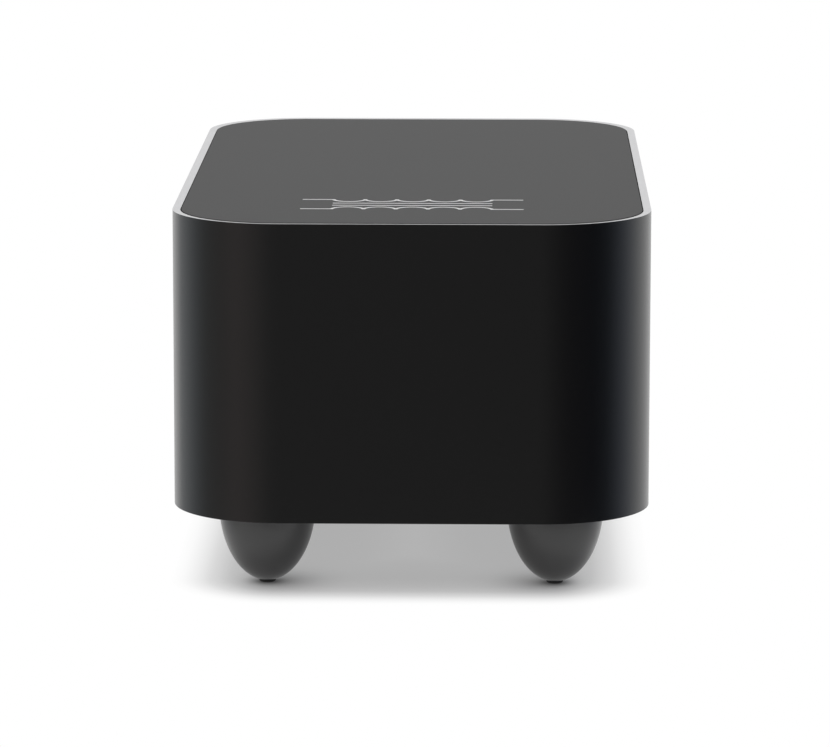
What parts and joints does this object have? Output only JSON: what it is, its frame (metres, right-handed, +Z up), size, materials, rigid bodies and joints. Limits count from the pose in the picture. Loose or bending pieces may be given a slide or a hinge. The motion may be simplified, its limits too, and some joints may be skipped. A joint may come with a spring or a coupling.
{
  "type": "moving coil step-up transformer",
  "caption": "Long round-cornered black metal sleeve on egg-shaped feet, with shielded ring transformers inside and phono sockets and a ground terminal behind.",
  "frame": {"origin": "on the floor under the middle of the whole object's box, rear sockets included", "axes": "+Z up, front faces -Y, sockets face +Y, +X to the right seen from the front"},
  "size_m": [0.12, 0.224, 0.0949],
  "materials": {
    "black_anodised": "satin black anodised, with a bright machined rim",
    "top_black": "matt dark grey anodised",
    "adhesive": "double-sided acrylic film",
    "zinc_steel": "zinc plated",
    "screw_steel": "plain steel",
    "base_black": "matt black powder coat",
    "black_screw": "black oxide",
    "foot_grey": "turned, dark grey matt anodised",
    "pad_rubber": "matt",
    "shield_alloy": "drawn and annealed nickel iron alloy",
    "core_strip": "wound strip, coated",
    "enamelled_copper": "enamelled copper wire",
    "winding_tape": "polyester tape",
    "silver_wire": "silver wire in clear enamel",
    "lead_white": "insulated lead",
    "lead_blue": "insulated lead",
    "lead_red": "insulated lead",
    "lead_orange": "insulated lead",
    "gold_plate": "gold plated brass",
    "socket_white": "moulded white plastic",
    "socket_red": "moulded red plastic",
    "tinned_brass": "tinned brass",
    "lead_green": "insulated lead"
  },
  "bodies": {
    "root": {"outer_case": "black_anodised", "top_plate": "top_black", "top_adhesive": "adhesive", "top_carrier": "zinc_steel", "carrier_screws": "screw_steel", "base_plate": "base_black", "base_screws": "black_screw", "foot_front_left": "foot_grey", "foot_front_right": "foot_grey", "foot_rear_left": "foot_grey", "foot_rear_right": "foot_grey", "foot_pads": "pad_rubber", "foot_screws": "screw_steel", "foot_washers": "zinc_steel", "left_shield_can": "shield_alloy", "left_shield_lid": "shield_alloy", "left_core": "core_strip", "left_secondary_winding": "enamelled_copper", "left_winding_tape": "winding_tape", "left_primary_winding": "silver_wire", "right_shield_can": "shield_alloy", "right_shield_lid": "shield_alloy", "right_core": "core_strip", "right_secondary_winding": "enamelled_copper", "right_winding_tape": "winding_tape", "right_primary_winding": "silver_wire", "can_cushions": "pad_rubber", "coil_cushions": "pad_rubber", "centre_bolts": "screw_steel", "dished_washers": "zinc_steel", "centre_nuts": "screw_steel", "lead_grommets": "pad_rubber", "left_primary_leads": "lead_white", "left_secondary_leads": "lead_blue", "right_primary_leads": "lead_red", "right_secondary_leads": "lead_orange", "input_left_shell": "gold_plate", "input_right_shell": "gold_plate", "output_left_shell": "gold_plate", "output_right_shell": "gold_plate", "input_left_contact": "gold_plate", "input_right_contact": "gold_plate", "output_left_contact": "gold_plate", "output_right_contact": "gold_plate", "socket_dielectrics": "socket_white", "socket_rings_white": "socket_white", "socket_rings_red": "socket_red", "socket_washers": "socket_white", "socket_lugs": "tinned_brass", "socket_nuts": "gold_plate", "ground_stud": "gold_plate", "ground_stud_nut": "gold_plate", "earth_lugs": "tinned_brass", "ground_wire": "lead_green"},
    "clamp_washer": {"ground_clamp_washer": "gold_plate"},
    "thumb_nut": {"ground_thumb_nut": "gold_plate"}
  },
  "joints": [
    {"name": "ground_nut_travel", "type": "slide", "parent": "root", "child": "clamp_washer", "axis": [0, 1, 0], "range_m": [0, 0.0028]},
    {"name": "ground_nut_spin", "type": "hinge", "parent": "clamp_washer", "child": "thumb_nut", "pos_m": [0, 0.1035, 0.0559], "axis": [0, 1, 0], "range_deg": [0, 1440]}
  ],
  "couplings": [
    {"joint": "ground_nut_spin", "follows": "ground_nut_travel", "rad_per_m": 8976}
  ]
}
